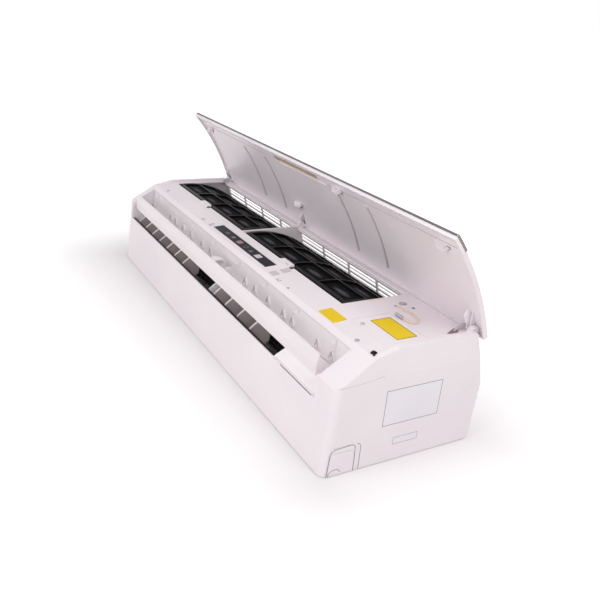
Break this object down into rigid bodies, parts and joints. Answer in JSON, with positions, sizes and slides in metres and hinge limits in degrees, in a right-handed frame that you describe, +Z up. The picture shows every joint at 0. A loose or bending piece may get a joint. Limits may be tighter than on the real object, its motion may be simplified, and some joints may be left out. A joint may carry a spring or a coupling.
{
  "type": "wall mounted fan coil unit",
  "caption": "Long white wall mounted fan coil unit with a hinged front panel open over curved black filters, an outlet with a swinging louver and turning vanes, and a fan and coil inside.",
  "frame": {"origin": "centre of the wall plate's four screw holes, on the wall plane", "axes": "+X along the unit to its right end as seen from the room, +Y into the wall, +Z up"},
  "size_m": [0.94, 0.3455, 0.2748],
  "materials": {
    "casing_white": "satin",
    "base_white": "matte",
    "panel_white": "gloss",
    "trim_grey": "satin",
    "window_tan": "gloss",
    "filter_black": "matte",
    "net_black": "matte",
    "fan_grey": "matte",
    "steel": "satin",
    "galvanised": "matte",
    "fin_aluminium": "satin",
    "copper": "satin",
    "union_brass": "satin",
    "vane_grey": "satin",
    "louver_white": "satin",
    "display_black": "gloss",
    "board_green": "satin",
    "box_grey": "matte",
    "terminal_white": "matte",
    "lead_brown": "satin",
    "sensor_silver": "gloss"
  },
  "bodies": {
    "casing": {"front_casing": "casing_white", "wiring_cover": "casing_white", "inlet_grille": "casing_white", "rear_casing": "base_white", "drain_pan": "base_white", "motor_saddle": "base_white", "fan_bearing": "filter_black", "fan_motor": "galvanised", "motor_clamp": "steel", "wall_plate": "galvanised", "coil_front_lower": "fin_aluminium", "coil_front_upper": "fin_aluminium", "coil_rear": "fin_aluminium", "coil_plate_left": "galvanised", "coil_plate_right": "galvanised", "return_bends": "copper", "water_inlet_pipe": "copper", "water_outlet_pipe": "copper", "pipe_unions": "union_brass", "louver_motor": "galvanised", "display_cover": "display_black", "display_board": "board_green", "electrical_box": "box_grey", "electrical_box_cover": "box_grey", "control_board": "board_green", "terminal_block": "terminal_white", "casing_screws": "steel", "room_sensor": "sensor_silver", "sensor_lead": "lead_brown"},
    "panel": {"front_panel": "panel_white", "panel_trim": "trim_grey", "panel_window": "window_tan"},
    "filter_left": {"filter_left": "filter_black", "filter_left_net": "net_black"},
    "filter_right": {"filter_right": "filter_black", "filter_right_net": "net_black"},
    "fan": {"crossflow_wheel": "fan_grey", "fan_stub": "steel", "motor_shaft": "steel"},
    "louver": {"louver": "louver_white"},
    "link_left": {"link_left": "vane_grey"},
    "link_right": {"link_right": "vane_grey"},
    "button": {"manual_button": "casing_white"},
    "vane_left_1": {"vane_left_1": "vane_grey"},
    "vane_left_2": {"vane_left_2": "vane_grey"},
    "vane_left_3": {"vane_left_3": "vane_grey"},
    "vane_left_4": {"vane_left_4": "vane_grey"},
    "vane_left_5": {"vane_left_5": "vane_grey"},
    "vane_left_6": {"vane_left_6": "vane_grey"},
    "vane_left_7": {"vane_left_7": "vane_grey"},
    "vane_right_1": {"vane_right_1": "vane_grey"},
    "vane_right_2": {"vane_right_2": "vane_grey"},
    "vane_right_3": {"vane_right_3": "vane_grey"},
    "vane_right_4": {"vane_right_4": "vane_grey"}
  },
  "joints": [
    {"name": "panel_hinge", "type": "hinge", "parent": "casing", "child": "panel", "pos_m": [0, -0.186, 0.068], "axis": [-1, 0, 0], "range_deg": [-60, 10]},
    {"name": "filter_left_slide", "type": "slide", "parent": "casing", "child": "filter_left", "axis": [0, -0.8, -0.6], "range_m": [0, 0.16]},
    {"name": "filter_right_slide", "type": "slide", "parent": "casing", "child": "filter_right", "axis": [0, -0.8, -0.6], "range_m": [0, 0.16]},
    {"name": "fan_spin", "type": "hinge", "parent": "casing", "child": "fan", "pos_m": [0, -0.075, -0.078], "axis": [1, 0, 0], "continuous": true},
    {"name": "louver_swing", "type": "hinge", "parent": "casing", "child": "louver", "pos_m": [0, -0.134, -0.15374], "axis": [-1, 0, 0], "range_deg": [-30, 53]},
    {"name": "button_press", "type": "slide", "parent": "casing", "child": "button", "axis": [0, 1, 0], "range_m": [0, 0.0006], "stiffness_N_per_m": 600},
    {"name": "vane_left_1_turn", "type": "hinge", "parent": "casing", "child": "vane_left_1", "pos_m": [-0.426, -0.08215, -0.1667], "axis": [0, -0.5976, 0.8018], "range_deg": [0, 72]},
    {"name": "vane_left_2_turn", "type": "hinge", "parent": "casing", "child": "vane_left_2", "pos_m": [-0.3775, -0.08215, -0.1667], "axis": [0, -0.5976, 0.8018], "range_deg": [0, 72]},
    {"name": "vane_left_3_turn", "type": "hinge", "parent": "casing", "child": "vane_left_3", "pos_m": [-0.329, -0.08215, -0.1667], "axis": [0, -0.5976, 0.8018], "range_deg": [0, 72]},
    {"name": "vane_left_4_turn", "type": "hinge", "parent": "casing", "child": "vane_left_4", "pos_m": [-0.2805, -0.08215, -0.1667], "axis": [0, -0.5976, 0.8018], "range_deg": [0, 72]},
    {"name": "vane_left_5_turn", "type": "hinge", "parent": "casing", "child": "vane_left_5", "pos_m": [-0.232, -0.08215, -0.1667], "axis": [0, -0.5976, 0.8018], "range_deg": [0, 72]},
    {"name": "vane_left_6_turn", "type": "hinge", "parent": "casing", "child": "vane_left_6", "pos_m": [-0.1835, -0.08215, -0.1667], "axis": [0, -0.5976, 0.8018], "range_deg": [0, 72]},
    {"name": "vane_left_7_turn", "type": "hinge", "parent": "casing", "child": "vane_left_7", "pos_m": [-0.135, -0.08215, -0.1667], "axis": [0, -0.5976, 0.8018], "range_deg": [0, 72]},
    {"name": "link_left_pivot", "type": "hinge", "parent": "vane_left_1", "child": "link_left", "pos_m": [-0.40593, -0.06428, -0.15337], "axis": [0, -0.5976, 0.8018], "range_deg": [-72, 0]},
    {"name": "vane_right_1_turn", "type": "hinge", "parent": "casing", "child": "vane_right_1", "pos_m": [0.031, -0.08215, -0.1667], "axis": [0, -0.5976, 0.8018], "range_deg": [0, 72]},
    {"name": "vane_right_2_turn", "type": "hinge", "parent": "casing", "child": "vane_right_2", "pos_m": [0.083, -0.08215, -0.1667], "axis": [0, -0.5976, 0.8018], "range_deg": [0, 72]},
    {"name": "vane_right_3_turn", "type": "hinge", "parent": "casing", "child": "vane_right_3", "pos_m": [0.135, -0.08215, -0.1667], "axis": [0, -0.5976, 0.8018], "range_deg": [0, 72]},
    {"name": "vane_right_4_turn", "type": "hinge", "parent": "casing", "child": "vane_right_4", "pos_m": [0.187, -0.08215, -0.1667], "axis": [0, -0.5976, 0.8018], "range_deg": [0, 72]},
    {"name": "link_right_pivot", "type": "hinge", "parent": "vane_right_1", "child": "link_right", "pos_m": [0.05107, -0.06428, -0.15337], "axis": [0, -0.5976, 0.8018], "range_deg": [-72, 0]}
  ],
  "couplings": [
    {"joint": "vane_left_2_turn", "follows": "vane_left_1_turn", "ratio": 1},
    {"joint": "vane_left_3_turn", "follows": "vane_left_1_turn", "ratio": 1},
    {"joint": "vane_left_4_turn", "follows": "vane_left_1_turn", "ratio": 1},
    {"joint": "vane_left_5_turn", "follows": "vane_left_1_turn", "ratio": 1},
    {"joint": "vane_left_6_turn", "follows": "vane_left_1_turn", "ratio": 1},
    {"joint": "vane_left_7_turn", "follows": "vane_left_1_turn", "ratio": 1},
    {"joint": "link_left_pivot", "follows": "vane_left_1_turn", "ratio": -1},
    {"joint": "vane_right_2_turn", "follows": "vane_right_1_turn", "ratio": 1},
    {"joint": "vane_right_3_turn", "follows": "vane_right_1_turn", "ratio": 1},
    {"joint": "vane_right_4_turn", "follows": "vane_right_1_turn", "ratio": 1},
    {"joint": "link_right_pivot", "follows": "vane_right_1_turn", "ratio": -1}
  ]
}
